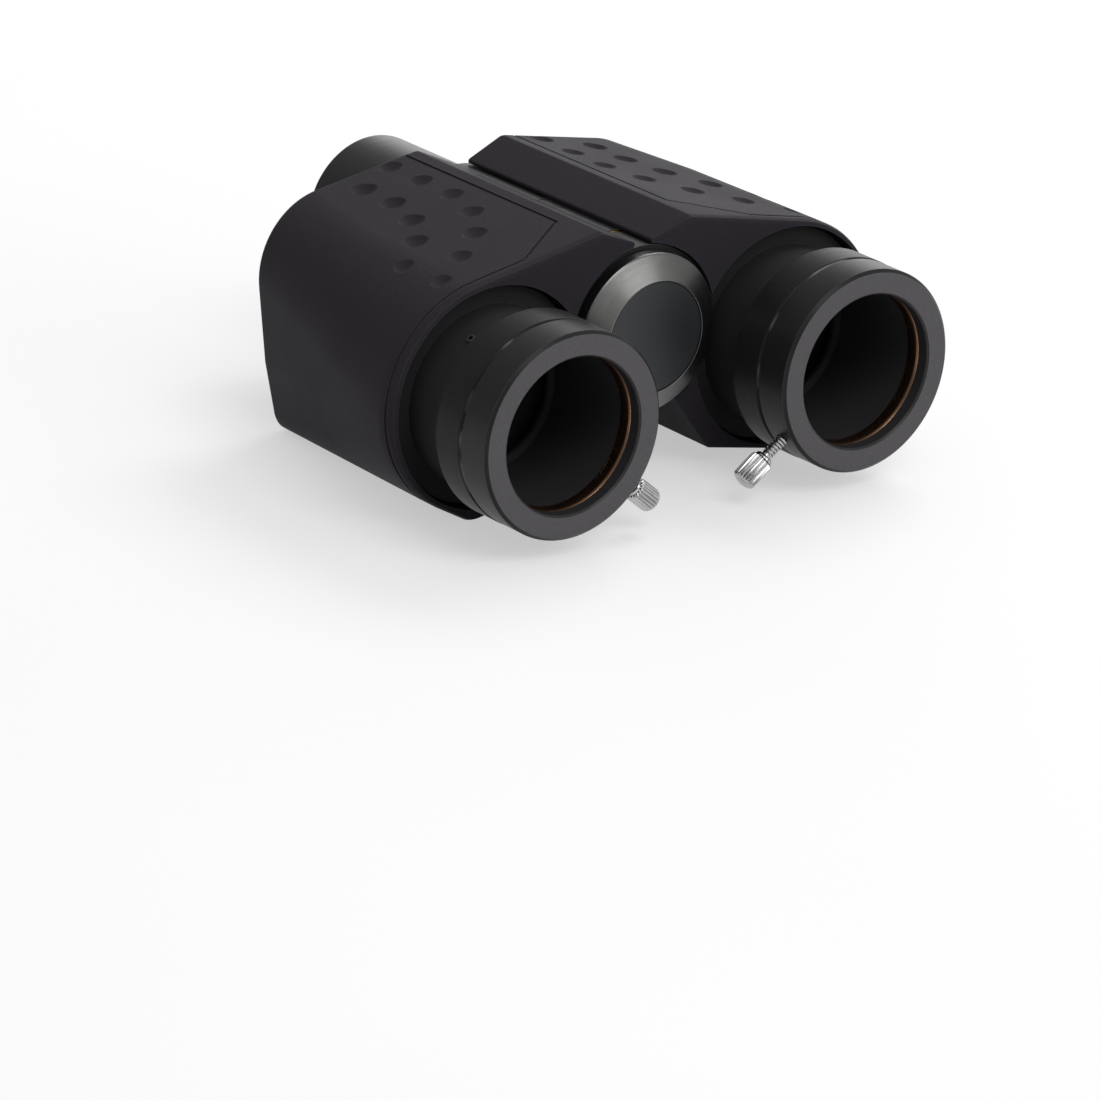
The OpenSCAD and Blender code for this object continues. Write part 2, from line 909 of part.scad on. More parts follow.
// Neck that carries an eyepiece barrel: flange, neck, collar and running spigot.
// The flange is cut away where the hinge passes it.
module barrel_base() {
    spigot_y = ring_y + 1.6;
    difference() {
        turned([
            [neck_in, spigot_y],
            [neck_r - 0.3, spigot_y],
            [neck_r, spigot_y + 0.3],
            [neck_r, clip_y],
            [neck_r - 0.5, clip_y],
            [neck_r - 0.5, clip_y + 0.9],
            [neck_r, clip_y + 0.9],
            [neck_r, collar_y],
            [collar_r, collar_y],
            [collar_r, neck_y - 0.3],
            [collar_r - 0.3, neck_y],
            [neck_r, neck_y],
            [neck_r, recess_y - 2],
            [flange_r, recess_y - 2],
            [flange_r, recess_y],
            [neck_r, recess_y],
            [neck_r, cavity_y + 0.4],
            [neck_in, cavity_y + 0.4]
        ]);
        guide_hole(1.0);
        screw_ring()
            rod_y(recess_y - 1.5, recess_y + 1, tap_r);
        translate([-arm, 0, 0])
            rod_y(recess_y - 3, recess_y + 1, pocket_r);
    }
}

// Radial hole for the guide screw
module guide_hole(r) {
    translate([0, guide_y, 0])
        rotate([0, guide_angle, 0])
            translate([0, 0, neck_in - 1])
                cylinder(h = 4, r = r);
}

// Places of the three screws that hold a base
module screw_ring() {
    for (a = [30, 150, 270])
        rotate([0, a, 0])
            translate([base_screw_r, 0, 0])
                children();
}

module left_barrel_base() {
    color("#1d1d1f")
        left_half()
            at_eye()
                barrel_base();
}

module right_barrel_base() {
    color("#1d1d1f")
        right_half()
            at_eye()
                barrel_base();
}

// Cap screws that hold a base from inside, through the web behind the boss
module base_screws() {
    head_y = cavity_y + 1.5;
    at_eye()
        screw_ring()
            difference() {
                turned([
                    [0, recess_y - 1.4],
                    [screw_r, recess_y - 1.4],
                    [screw_r, cavity_y],
                    [base_head_r, cavity_y],
                    [base_head_r, head_y],
                    [0, head_y]
                ]);
                translate([0, head_y - 0.9, 0])
                    rotate([-90, 0, 0])
                        cylinder(h = 1.4, r = 0.8, $fn = 6);
            }
}

module left_base_screws() {
    color("#3a3a3c")
        left_half()
            base_screws();
}

module right_base_screws() {
    color("#3a3a3c")
        right_half()
            base_screws();
}

// Grub screw whose tip runs in the slot of the eyepiece holder
module guide_screw() {
    translate([0, guide_y, 0])
        rotate([0, guide_angle, 0])
            difference() {
                union() {
                    translate([0, 0, tube_r - 0.8])
                        cylinder(h = 1.2, r = guide_tip_r);
                    translate([0, 0, neck_in])
                        cylinder(h = neck_wall + 0.4, r = 1.0);
                }
                translate([0, 0, neck_r - 0.3])
                    cylinder(h = 1, r = 0.5, $fn = 6);
            }
}

module left_guide_screw() {
    color("#d8dadd")
        left_half()
            at_eye()
                guide_screw();
}

module right_guide_screw() {
    color("#d8dadd")
        right_half()
            at_eye()
                guide_screw();
}

// Blackened stop at the rear of the neck
module exit_baffle() {
    y0 = cavity_y - 0.6;
    turned([
        [prism_h + 0.6, y0],
        [neck_in, y0 - 0.6],
        [neck_in, y0 + 1],
        [prism_h + 1, y0 + 1],
        [prism_h + 0.6, y0 + 0.4]
    ]);
}

module left_exit_baffle() {
    color("#101011")
        left_half()
            at_eye()
                exit_baffle();
}

module right_exit_baffle() {
    color("#101011")
        right_half()
            at_eye()
                exit_baffle();
}

// Focusing ring that turns on the neck and drives the holder through its thread
module diopter_ring() {
    turned([
        [tube_r + run_c, ring_y + run_c],
        [ring_r - 0.4, ring_y + run_c],
        [ring_r + 0.1, ring_y + 0.5],
        [ring_r + 0.1, diopter_y - 0.6],
        [ring_r - 0.5, diopter_y],
        [neck_r + run_c, diopter_y],
        [neck_r + run_c, clip_y + 1.2],
        [neck_r + 1.4, clip_y + 1.2],
        [neck_r + 1.4, clip_y - 0.5],
        [tube_r + run_c, clip_y - 0.5]
    ]);
}

module left_diopter_ring() {
    color("#202022")
        left_half()
            at_eye()
                diopter_ring();
}

module right_diopter_ring() {
    color("#202022")
        right_half()
            at_eye()
                diopter_ring();
}

// Split ring in the neck's groove that keeps the diopter ring in place
module snap_ring() {
    difference() {
        tube_along(clip_y + run_c, clip_y + 0.85, neck_r + 0.9, neck_r - 0.45);
        rotate([0, 200, 0])
            block([neck_r - 2, clip_y - 1, -1.5], [neck_r + 3, clip_y + 2, 1.5]);
    }
}

module left_snap_ring() {
    color("#b8babd")
        left_half()
            at_eye()
                snap_ring();
}

module right_snap_ring() {
    color("#b8babd")
        right_half()
            at_eye()
                snap_ring();
}

// Front ring and sliding tube that take an eyepiece
module eyepiece_holder(thumb_angle) {
    brass_y = face_y + thumb_y;
    difference() {
        turned([
            [bore_r + 0.4, face_y],
            [ring_r - ring_edge, face_y],
            [ring_r, face_y + ring_edge],
            [ring_r, ring_y - 0.4],
            [ring_r - 0.4, ring_y - run_c],
            [tube_r, ring_y - run_c],
            [tube_r, tube_y],
            [bore_r - 1.6, tube_y],
            [bore_r - 1.6, tube_y - 1],
            [bore_r, tube_y - 1],
            [bore_r, brass_y + brass_w / 2 + seat_c],
            [groove_r, brass_y + brass_w / 2 + seat_c],
            [groove_r, brass_y - brass_w / 2 - seat_c],
            [bore_r, brass_y - brass_w / 2 - seat_c],
            [bore_r, face_y + 0.4]
        ]);
        translate([0, brass_y, 0])
            inward_down(thumb_angle)
                translate([0, 0, bore_r + 0.2])
                    cylinder(h = ring_wall + 2, r = hole_r);
        rotate([0, guide_angle, 0])
            block(
                [-slot_w / 2, guide_y - slot_w / 2 - 0.1, tube_r - 1],
                [slot_w / 2, guide_y + focus_travel + slot_w / 2 + 0.1, tube_r + 1]
            );
    }
}

module left_eyepiece_holder() {
    color("#333335")
        left_half()
            at_eye()
                eyepiece_holder(left_thumb_angle);
}

module right_eyepiece_holder() {
    color("#333335")
        right_half()
            at_eye()
                eyepiece_holder(right_thumb_angle);
}

// Split brass ring that the thumbscrew presses on the eyepiece
module brass_ring(thumb_angle) {
    y0 = face_y + thumb_y - brass_w / 2;
    difference() {
        tube_along(y0, y0 + brass_w, bore_r + brass_t, bore_r);
        inward_down(thumb_angle - 180)
            block([-1.5, y0 - 1, bore_r - 2], [1.5, y0 + brass_w + 1, bore_r + 2]);
    }
}

module left_brass_ring() {
    color("#b9752c")
        left_half()
            at_eye()
                brass_ring(left_thumb_angle);
}

module right_brass_ring() {
    color("#b9752c")
        right_half()
            at_eye()
                brass_ring(right_thumb_angle);
}

// Outline of a straight-knurled head
flutes = 20;
module knurl_outline(r) {
    polygon([
        for (i = [0:flutes - 1])
            for (step = [[0, -0.28], [0.25, 0], [0.5, 0], [0.75, -0.28]])
                let (a = (i + step[0]) * 360 / flutes)
                    [(r + step[1]) * cos(a), (r + step[1]) * sin(a)]
    ]);
}

// Thumbscrew at an angle below level, drawn out by a given distance
module thumbscrew(thumb_angle, out) {
    translate([0, face_y + thumb_y, 0])
        inward_down(thumb_angle)
            translate([0, 0, head_rest + out]) {
                translate([0, 0, -shank_l])
                    cylinder(h = shank_l + eps, r = thumb_shank_r);
                cylinder(h = 0.8, r1 = thumb_head_r - 0.7, r2 = thumb_head_r - 0.35);
                translate([0, 0, 0.8])
                    linear_extrude(height = thumb_head_l - 1.3)
                        knurl_outline(thumb_head_r);
                translate([0, 0, thumb_head_l - 0.5])
                    cylinder(h = 0.5, r1 = thumb_head_r - 0.3, r2 = thumb_head_r - 0.7);
            }
}

module left_thumbscrew() {
    color("#d9dadc")
        left_half()
            at_eye()
                thumbscrew(left_thumb_angle, left_screw_out);
}

module right_thumbscrew() {
    color("#d9dadc")
        right_half()
            at_eye()
                thumbscrew(right_thumb_angle, right_screw_out);
}

left_housing();
right_housing();
left_rear_cover();
right_rear_cover();
left_cover_screws();
right_cover_screws();
left_rhomboid_prism();
right_rhomboid_prism();
splitter_prism();
compensator_block();
left_prism_cradle();
right_prism_cradle();
left_prism_strap();
right_prism_strap();
compensator_strap();
hinge_tube();
left_rear_knuckle();
left_front_knuckle();
right_knuckle();
rear_thrust_washer();
front_thrust_washer();
tension_spring();
hinge_plug();
cap_ring();
cap_disc();
nosepiece();
nosepiece_baffle();
left_barrel_base();
right_barrel_base();
left_base_screws();
right_base_screws();
left_guide_screw();
right_guide_screw();
left_exit_baffle();
right_exit_baffle();
left_diopter_ring();
right_diopter_ring();
left_snap_ring();
right_snap_ring();
left_eyepiece_holder();
right_eyepiece_holder();
left_brass_ring();
right_brass_ring();
left_thumbscrew();
right_thumbscrew();
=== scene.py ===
"""Looks of a pair of astronomy binoculars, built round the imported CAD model.

Metres, in the model's own frame: the hinge lies along Y, the eyepieces face -Y,
the nosepiece points along +Y and +Z is up.
"""

import json
import math

import bmesh
import bpy
from mathutils import Euler, Matrix, Vector

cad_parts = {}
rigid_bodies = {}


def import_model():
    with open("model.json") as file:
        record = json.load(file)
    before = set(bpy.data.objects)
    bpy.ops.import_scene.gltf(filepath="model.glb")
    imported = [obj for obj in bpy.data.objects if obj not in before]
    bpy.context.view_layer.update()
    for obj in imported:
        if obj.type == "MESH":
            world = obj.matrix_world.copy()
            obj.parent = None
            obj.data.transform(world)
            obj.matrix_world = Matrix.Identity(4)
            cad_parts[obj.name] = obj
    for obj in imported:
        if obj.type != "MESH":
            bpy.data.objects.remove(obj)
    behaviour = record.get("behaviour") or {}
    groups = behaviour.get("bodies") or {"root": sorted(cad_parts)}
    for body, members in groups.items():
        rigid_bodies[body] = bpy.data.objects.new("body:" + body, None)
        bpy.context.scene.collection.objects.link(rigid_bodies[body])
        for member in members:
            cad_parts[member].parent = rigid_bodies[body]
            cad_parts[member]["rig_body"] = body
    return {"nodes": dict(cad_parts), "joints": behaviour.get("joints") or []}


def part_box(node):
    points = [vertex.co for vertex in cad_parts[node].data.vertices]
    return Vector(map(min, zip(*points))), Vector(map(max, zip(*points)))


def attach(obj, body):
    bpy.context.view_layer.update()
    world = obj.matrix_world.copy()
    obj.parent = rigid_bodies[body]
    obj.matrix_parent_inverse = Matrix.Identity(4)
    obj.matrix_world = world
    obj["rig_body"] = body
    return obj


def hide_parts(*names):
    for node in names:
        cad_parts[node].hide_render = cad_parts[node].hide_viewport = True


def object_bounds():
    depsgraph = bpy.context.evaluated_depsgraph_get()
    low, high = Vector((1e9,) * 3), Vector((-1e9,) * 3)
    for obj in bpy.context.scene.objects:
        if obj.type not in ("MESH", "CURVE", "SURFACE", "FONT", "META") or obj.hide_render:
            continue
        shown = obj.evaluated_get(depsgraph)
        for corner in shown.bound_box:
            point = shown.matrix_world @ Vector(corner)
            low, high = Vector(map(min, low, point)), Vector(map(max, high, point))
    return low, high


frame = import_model()
cad_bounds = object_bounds()

MM = 0.001
SIDES = ("left", "right")


# ---------------------------------------------------------------- measurements


def centre_of(node):
    """Middle of a CAD node's box."""
    low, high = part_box(node)
    return (low + high) / 2


barrel_axis = {side: centre_of(side + "_eyepiece_holder") for side in SIDES}
hinge_axis = Vector((0, 0, 0))
face_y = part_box("left_eyepiece_holder")[0].y
floor_z = cad_bounds[0][2]


def side_of(node):
    """The side that a CAD node's name starts with, or None for a node on the hinge."""
    return next((s for s in SIDES if node.startswith(s + "_")), None)


def plain_name(node):
    """A CAD node's name without its side."""
    side = side_of(node)
    return node[len(side) + 1 :] if side else node


# ------------------------------------------------------------- material graphs

# Nearly all of a noise texture's values lie between these
NOISE_LOW = 0.3
NOISE_HIGH = 0.7

# A tone of 1 is the plain level, and these tones give these shares of it
TONE_LOW = 0.7
TONE_HIGH = 1.3
DARKEST = 0.72
LIGHTEST = 1.32


class Graph:
    """Short calls for building one material's nodes."""

    def __init__(self, name):
        self.material = bpy.data.materials.new(name)
        self.material.use_nodes = True
        self.tree = self.material.node_tree
        self.tree.nodes.clear()
        self.output = self.tree.nodes.new("ShaderNodeOutputMaterial")

    def add(self, kind, inputs=None, **settings):
        """A new node with its settings and inputs, which are values or sockets."""
        node = self.tree.nodes.new(kind)
        for key, value in settings.items():
            setattr(node, key, value)
        for key, value in (inputs or {}).items():
            if isinstance(value, bpy.types.NodeSocket):
                self.tree.links.new(value, node.inputs[key])
            else:
                node.inputs[key].default_value = value
        return node

    def math(self, operation, a, b=0.0):
        return self.add("ShaderNodeMath", {0: a, 1: b}, operation=operation).outputs[0]

    def remap(self, value, from_low, from_high, to_low=0.0, to_high=1.0, smooth=False):
        """The value carried from one range to another, and held inside it."""
        kind = "SMOOTHSTEP" if smooth else "LINEAR"
        node = self.add(
            "ShaderNodeMapRange",
            {0: value, 1: from_low, 2: from_high, 3: to_low, 4: to_high},
            interpolation_type=kind,
        )
        return node.outputs[0]

    def spread(self, noise, low=0.0, high=1.0):
        """Noise stretched so that it runs from low to high."""
        return self.remap(noise, NOISE_LOW, NOISE_HIGH, low, high)

    def mix(self, factor, a, b):
        """Colour between a and b."""
        node = self.add("ShaderNodeMix", {0: factor, 6: a, 7: b}, data_type="RGBA")
        return node.outputs[2]

    def noise(self, vector, scale, detail, roughness=0.5):
        inputs = {"Vector": vector, "Scale": scale, "Detail": detail, "Roughness": roughness}
        return self.add("ShaderNodeTexNoise", inputs).outputs[0]

    def place(self):
        """The point on the piece, in metres, which moves with the piece."""
        return self.add("ShaderNodeTexCoord").outputs["Object"]

    def facing(self):
        """The surface normal in the piece's own axes."""
        return self.add("ShaderNodeTexCoord").outputs["Normal"]

    def split(self, vector):
        return self.add("ShaderNodeSeparateXYZ", {0: vector}).outputs

    def join(self, x, y, z):
        return self.add("ShaderNodeCombineXYZ", {0: x, 1: y, 2: z}).outputs[0]

    def edges(self, radius):
        """1 on edges that stand out, 0 on flat surfaces."""
        soft = self.add("ShaderNodeBevel", {"Radius": radius}, samples=6).outputs[0]
        true = self.add("ShaderNodeNewGeometry").outputs["Normal"]
        dot = self.add(
            "ShaderNodeVectorMath", {0: soft, 1: true}, operation="DOT_PRODUCT"
        ).outputs["Value"]
        return self.remap(dot, 0.99, 0.90)

    def bump(self, height, distance):
        inputs = {"Height": height, "Distance": distance, "Strength": 1.0}
        return self.add("ShaderNodeBump", inputs).outputs[0]

    def surface(self, **inputs):
        """The principled shader, wired to the output."""
        names = {key.replace("_", " "): value for key, value in inputs.items()}
        shader = self.add("ShaderNodeBsdfPrincipled", names)
        self.tree.links.new(shader.outputs[0], self.output.inputs[0])
        return self.material


def grey(level, tint=(1.0, 1.0, 1.0)):
    """A colour: level is from 0 (black) to 1 (white), and tint is its red, green and blue shares."""
    return (level * tint[0], level * tint[1], level * tint[2], 1.0)


def mottled(g, tone, level, tint):
    """Colour that goes darker and lighter than its level with the tone."""
    dark = grey(level * DARKEST, tint)
    light = grey(level * LIGHTEST, tint)
    return g.mix(g.remap(tone, TONE_LOW, TONE_HIGH), dark, light)


def coated(name, level, tint, rough, grain, depth, worn, specular):
    """Painted or rubbered metal: fine pebble grain, clouded tone and rubbed edges.

    grain is a pebble's width, depth its height, and worn is how far the edges are rubbed."""
    g = Graph(name)
    place = g.place()
    cloud = g.noise(place, scale=18.0, detail=4.0, roughness=0.55)
    speck = g.noise(place, scale=1.0 / grain, detail=2.0, roughness=0.6)
    tone = g.math("ADD", g.spread(cloud, 0.93, 1.07), g.spread(speck, -0.09, 0.09))
    scuff = g.noise(place, scale=420.0, detail=5.0, roughness=0.7)
    rub = g.math("MULTIPLY", g.edges(0.35 * MM), g.remap(scuff, 0.35, 0.65, 0.35, 1.0))
    bare = grey(level * 4.0, tint)
    smear = g.noise(place, scale=60.0, detail=3.0)
    polish = g.remap(rub, 0.0, 1.0, 0.0, -0.10)
    pebble = g.add(
        "ShaderNodeTexVoronoi", {"Vector": place, "Scale": 1.0 / grain}, feature="F1"
    ).outputs["Distance"]
    height = g.math("ADD", pebble, g.math("MULTIPLY", speck, 0.6))
    return g.surface(
        Base_Color=g.mix(g.math("MULTIPLY", rub, worn), mottled(g, tone, level, tint), bare),
        Roughness=g.math("ADD", g.spread(smear, rough - 0.03, rough + 0.03), polish),
        Specular_IOR_Level=specular,
        Normal=g.bump(height, depth),
    )


def ring_place(g, axis):
    """Place as (distance from the turning axis, along it, a little of the angle)."""
    waver = 0.5 * MM
    x, y, z = g.split(g.place())
    dx = g.math("SUBTRACT", x, axis.x)
    dz = g.math("SUBTRACT", z, axis.z)
    square = g.math("ADD", g.math("MULTIPLY", dx, dx), g.math("MULTIPLY", dz, dz))
    angle = g.math("ARCTAN2", dz, dx)
    return g.math("SQRT", square), y, g.math("MULTIPLY", angle, waver)


def front_face(g, along, face_at):
    """1 on the flat front at that place along the axis, 0 elsewhere."""
    front = g.math("MULTIPLY", g.split(g.facing())[1], -1.0)
    flat = g.remap(front, 0.90, 0.97, smooth=True)
    near = g.remap(along, face_at + 0.6 * MM, face_at + 0.3 * MM)
    return g.math("MULTIPLY", flat, near)


def glint_arcs(g, place, along, rim):
    """1 on short arcs of the edge at that place along the axis, 0 elsewhere: where glints are
    painted on as highlights.
    """
    away = g.math("ABSOLUTE", g.math("SUBTRACT", along, rim))
    band = g.remap(away, 0.26 * MM, 0.10 * MM, smooth=True)
    patches = g.noise(place, scale=62.0, detail=2.0, roughness=0.6)
    return g.math("MULTIPLY", band, g.remap(patches, 0.54, 0.62))


def turned(
    name, axis, level, tint, rough, line, depth, metal, worn,
    specular=0.5, bright=0.30, face=None, bore=None, rim=None,
):
    """Metal turned on a lathe: fine rings round its axis, with clouded tone and rubbed edges.

    line is a ring's width, depth its height, and bright the level of a rubbed edge, which on the
    rings and brass is set bright to paint edge highlights.
    face = (y, level, roughness) gives the flat front at that y its own finer grey cut.
    bore = (radius, level) is the inside, where no edge is rubbed bright; a level above the ring's
    paints light into the dark bore.
    rim is the place along the axis where short arcs of the edge are painted bright as glints
    (painted highlights)."""
    g = Graph(name)
    place = g.place()
    radius, along, angle = ring_place(g, axis)
    on_lathe = g.join(radius, along, angle)
    rings = g.noise(on_lathe, scale=1.0 / line, detail=3.0, roughness=0.65)
    wide = g.noise(on_lathe, scale=0.16 / line, detail=2.0)
    cloud = g.noise(place, scale=45.0, detail=4.0, roughness=0.55)
    tone = g.math("ADD", g.spread(cloud, -0.10, 0.10), g.spread(rings, 0.90, 1.10))
    base = mottled(g, tone, level, tint)
    roughness = g.spread(wide, rough - 0.04, rough + 0.05)

    outside = 1.0
    if bore is not None:
        bore_radius, bore_level = bore
        outside = g.math("GREATER_THAN", radius, bore_radius)
        base = g.mix(outside, grey(bore_level, tint), base)

    if face is not None:
        face_at, face_level, face_rough = face
        on_face = front_face(g, along, face_at)
        off_face = g.math("SUBTRACT", 1.0, on_face)
        grit = g.noise(place, scale=2600.0, detail=3.0, roughness=0.75)
        shade = g.math("ADD", g.spread(grit, -0.13, 0.13), g.spread(rings, 0.95, 1.05))
        base = g.mix(on_face, base, mottled(g, shade, face_level, tint))
        roughness = g.math(
            "ADD",
            g.math("MULTIPLY", on_face, face_rough),
            g.math("MULTIPLY", off_face, roughness),
        )

    # Rubbed edges: wear, and on the rings and brass also painted highlights, their level set bright
    # to stand for edge glints.
    scuff = g.noise(place, scale=650.0, detail=4.0, roughness=0.7)
    rub = g.math("MULTIPLY", g.edges(0.2 * MM), g.spread(scuff, 0.4, 1.0))
    # Short arcs at the rim are painted bright as glints (painted highlight), on top of the rubbed
    # edges.
    if rim is not None:
        rub = g.math("MAXIMUM", rub, glint_arcs(g, place, along, rim))
    rub = g.math("MULTIPLY", rub, outside)
    return g.surface(
        Base_Color=g.mix(g.math("MULTIPLY", rub, worn), base, grey(bright, tint)),
        Metallic=metal,
        Roughness=roughness,
        Specular_IOR_Level=specular,
        Normal=g.bump(rings, depth),
    )


def plated(name, level, tint, rough, scratch=0.012 * MM):
    """Bright plated or polished metal with hairlines across Y and faint smears."""
    g = Graph(name)
    place = g.place()
    stretch = g.add(
        "ShaderNodeMapping", {"Vector": place, "Scale": (900.0, 9000.0, 900.0)}
    ).outputs[0]
    hair = g.noise(stretch, scale=1.0, detail=2.0, roughness=0.6)
    smear = g.noise(place, scale=350.0, detail=3.0, roughness=0.6)
    return g.surface(
        Base_Color=g.mix(g.spread(smear), grey(level * 0.86, tint), grey(level, tint)),
        Metallic=1.0,
        Roughness=g.spread(smear, rough, rough + 0.10),
        Normal=g.bump(hair, scratch),
    )


def cast_metal(name, level, tint):
    """Sand-blasted cast alloy, for the prism cradles inside the housings."""
    g = Graph(name)
    place = g.place()
    grain = g.noise(place, scale=3200.0, detail=3.0, roughness=0.7)
    cloud = g.noise(place, scale=90.0, detail=4.0, roughness=0.6)
    return g.surface(
        Base_Color=g.mix(g.spread(cloud), grey(level * 0.75, tint), grey(level * 1.1, tint)),
        Metallic=1.0,
        Roughness=g.spread(cloud, 0.42, 0.58),
        Normal=g.bump(grain, 0.02 * MM),
    )


def prism_glass(name, index):
    """Clear prism glass with ground edges. index is its refractive index."""
    clear = (0.86, 0.93, 0.94, 1.0)
    ground = (0.70, 0.75, 0.76, 1.0)
    g = Graph(name)
    edge = g.edges(0.5 * MM)
    frost = g.noise(g.place(), scale=2500.0, detail=3.0, roughness=0.7)
    return g.surface(
        Base_Color=g.mix(edge, clear, ground),
        Roughness=g.math("MULTIPLY", edge, g.spread(frost, 0.3, 0.6)),
        IOR=index,
        Transmission_Weight=1.0,
    )


def enamel(name, level, tint):
    """The cap's painted disc: satin enamel with faint orange-peel and dust specks."""
    g = Graph(name)
    place = g.place()
    cloud = g.noise(place, scale=70.0, detail=4.0, roughness=0.55)
    peel = g.noise(place, scale=1400.0, detail=2.0, roughness=0.4)
    dust = g.remap(g.noise(place, scale=5200.0, detail=1.0), 0.72, 0.80)
    base = g.mix(g.spread(cloud), grey(level * 0.84, tint), grey(level * 1.12, tint))
    return g.surface(
        Base_Color=g.mix(g.math("MULTIPLY", dust, 0.35), base, grey(level * 2.2, tint)),
        Roughness=g.spread(cloud, 0.34, 0.42),
        Specular_IOR_Level=0.5,
        Normal=g.bump(peel, 0.012 * MM),
    )


# ------------------------------------------------------------------- materials

# Tints
WARM_BLACK = (1.08, 0.96, 1.16)
COOL_BLACK = (0.98, 0.98, 1.06)
FACE_BLACK = (1.03, 0.98, 1.04)
COOL_STEEL = (1.0, 1.0, 1.02)

BORE_EDGE = 18 * MM  # a barrel's surface nearer its axis than this is its inside

ARMOUR = coated(
    "housing_armour", 0.030, WARM_BLACK, rough=0.50,
    grain=0.30 * MM, depth=0.016 * MM, worn=0.30, specular=0.02,
)
COVER = coated(
    "black_cover", 0.024, COOL_BLACK, rough=0.50,
    grain=0.22 * MM, depth=0.012 * MM, worn=0.30, specular=0.06,
)
# Black whose level is set lighter to lift the shaded pocket round each neck: partly painted light.
BASE = coated(
    "barrel_base_black", 0.026, COOL_BLACK, rough=0.55,
    grain=0.18 * MM, depth=0.008 * MM, worn=0.30, specular=0.05,
)
# Matt black for the baffles, its level set lighter to lift the dark bores: partly painted light.
MATT = coated(
    "matt_black", 0.022, COOL_BLACK, rough=0.75,
    grain=0.20 * MM, depth=0.015 * MM, worn=0.05, specular=0.2,
)
CAST = cast_metal("cast_alloy", 0.40, (1.0, 1.01, 1.03))
GLASS = prism_glass("prism_glass", index=1.569)
STEEL = plated("steel_screws", 0.42, COOL_STEEL, rough=0.28)
BLACK_STEEL = plated("blackened_steel", 0.11, COOL_STEEL, rough=0.30)
CHROME = plated("thumb_chrome", 0.52, (1.0, 1.0, 1.01), rough=0.12, scratch=0.004 * MM)
# Near-black metal for the flute and thread bottoms of the thumbscrews: painted shade in the grooves.
SHADED_CHROME = plated(
    "thumb_grooves_painted_shade", 0.015, (1.0, 0.98, 0.97), rough=0.35, scratch=0.004 * MM
)
HINGE = turned(
    "hinge_alloy", hinge_axis, 0.015, COOL_BLACK, rough=0.42,
    line=0.12 * MM, depth=0.008 * MM, metal=0.0, worn=0.5, specular=0.2,
)
WASHER = turned(
    "washer_brass", hinge_axis, 0.5, (1.0, 0.68, 0.25), rough=0.35,
    line=0.1 * MM, depth=0.008 * MM, metal=1.0, worn=0.3,
)
CAP = turned(
    "cap_metal", hinge_axis, 0.175, (1.0, 1.0, 0.98), rough=0.32,
    line=0.07 * MM, depth=0.003 * MM, metal=1.0, worn=0.5,
)
ENAMEL = enamel("cap_enamel", 0.022, (0.92, 1.0, 1.12))
NOSE = turned(
    "nosepiece_black", hinge_axis, 0.014, COOL_BLACK, rough=0.33,
    line=0.11 * MM, depth=0.006 * MM, metal=0.0, worn=0.3, specular=0.22,
)
BARREL = {}
FRONT_RING = {}
BRASS = {}
for side in SIDES:
    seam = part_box(side + "_diopter_ring")[0].y
    # Rubbed edges (worn) on these rings are partly wear and partly painted highlight, and rim adds
    # painted glint arcs near the seam.
    BARREL[side] = turned(
        side + "_barrel_black", barrel_axis[side], 0.015, FACE_BLACK, rough=0.36,
        line=0.11 * MM, depth=0.007 * MM, metal=0.0, worn=0.55, specular=0.10,
        bore=(BORE_EDGE, 0.015),
        rim=seam + 0.12 * MM,
    )
    # The front ring's bore is set lighter than the ring: painted light inside the bore.
    FRONT_RING[side] = turned(
        side + "_ring_black", barrel_axis[side], 0.016, FACE_BLACK, rough=0.34,
        line=0.10 * MM, depth=0.006 * MM, metal=0.0, worn=0.55, specular=0.16,
        face=(face_y, 0.095, 0.50),
        bore=(BORE_EDGE, 0.036),
        rim=seam - 0.3 * MM,
    )
    # Brass edges rubbed to a bright level (worn, bright): painted glint lines, partly wear.
    BRASS[side] = turned(
        side + "_ring_brass", barrel_axis[side], 0.16, (1.0, 0.55, 0.32), rough=0.28,
        line=0.1 * MM, depth=0.008 * MM, metal=0.95, worn=0.9, bright=0.85,
    )

# By a CAD node's name without its side. A dict holds one material for each side
MATERIAL_OF = {
    "housing": ARMOUR,
    "rear_cover": COVER,
    "cover_screws": STEEL,
    "rhomboid_prism": GLASS,
    "splitter_prism": GLASS,
    "compensator_block": GLASS,
    "prism_cradle": CAST,
    "prism_strap": STEEL,
    "compensator_strap": STEEL,
    "hinge_tube": HINGE,
    "rear_knuckle": HINGE,
    "front_knuckle": HINGE,
    "knuckle": HINGE,
    "rear_thrust_washer": WASHER,
    "front_thrust_washer": WASHER,
    "tension_spring": STEEL,
    "hinge_plug": HINGE,
    "cap_ring": CAP,
    "cap_disc": ENAMEL,
    "nosepiece": NOSE,
    "nosepiece_baffle": MATT,
    "barrel_base": BASE,
    "base_screws": STEEL,
    "guide_screw": BLACK_STEEL,
    "exit_baffle": MATT,
    "diopter_ring": BARREL,
    "snap_ring": STEEL,
    "eyepiece_holder": FRONT_RING,
    "brass_ring": BRASS,
    "thumbscrew": CHROME,
}


def material_for(node):
    """The material of a CAD node."""
    found = MATERIAL_OF[plain_name(node)]
    return found[side_of(node)] if isinstance(found, dict) else found


for name, node in frame["nodes"].items():
    for slot in node.material_slots:
        slot.material = material_for(name)


# -------------------------------------------------------------- mesh functions

SHARP = 35.0  # degrees: edges that turn more than this stay sharp


def new_object(name, mesh, material):
    obj = bpy.data.objects.new(name, mesh)
    bpy.context.scene.collection.objects.link(obj)
    mesh.materials.clear()
    mesh.materials.append(material)
    return obj


def mesh_from(bm, name):
    """A mesh with what the bmesh holds, which is freed."""
    mesh = bpy.data.meshes.new(name)
    bm.to_mesh(mesh)
    bm.free()
    return mesh


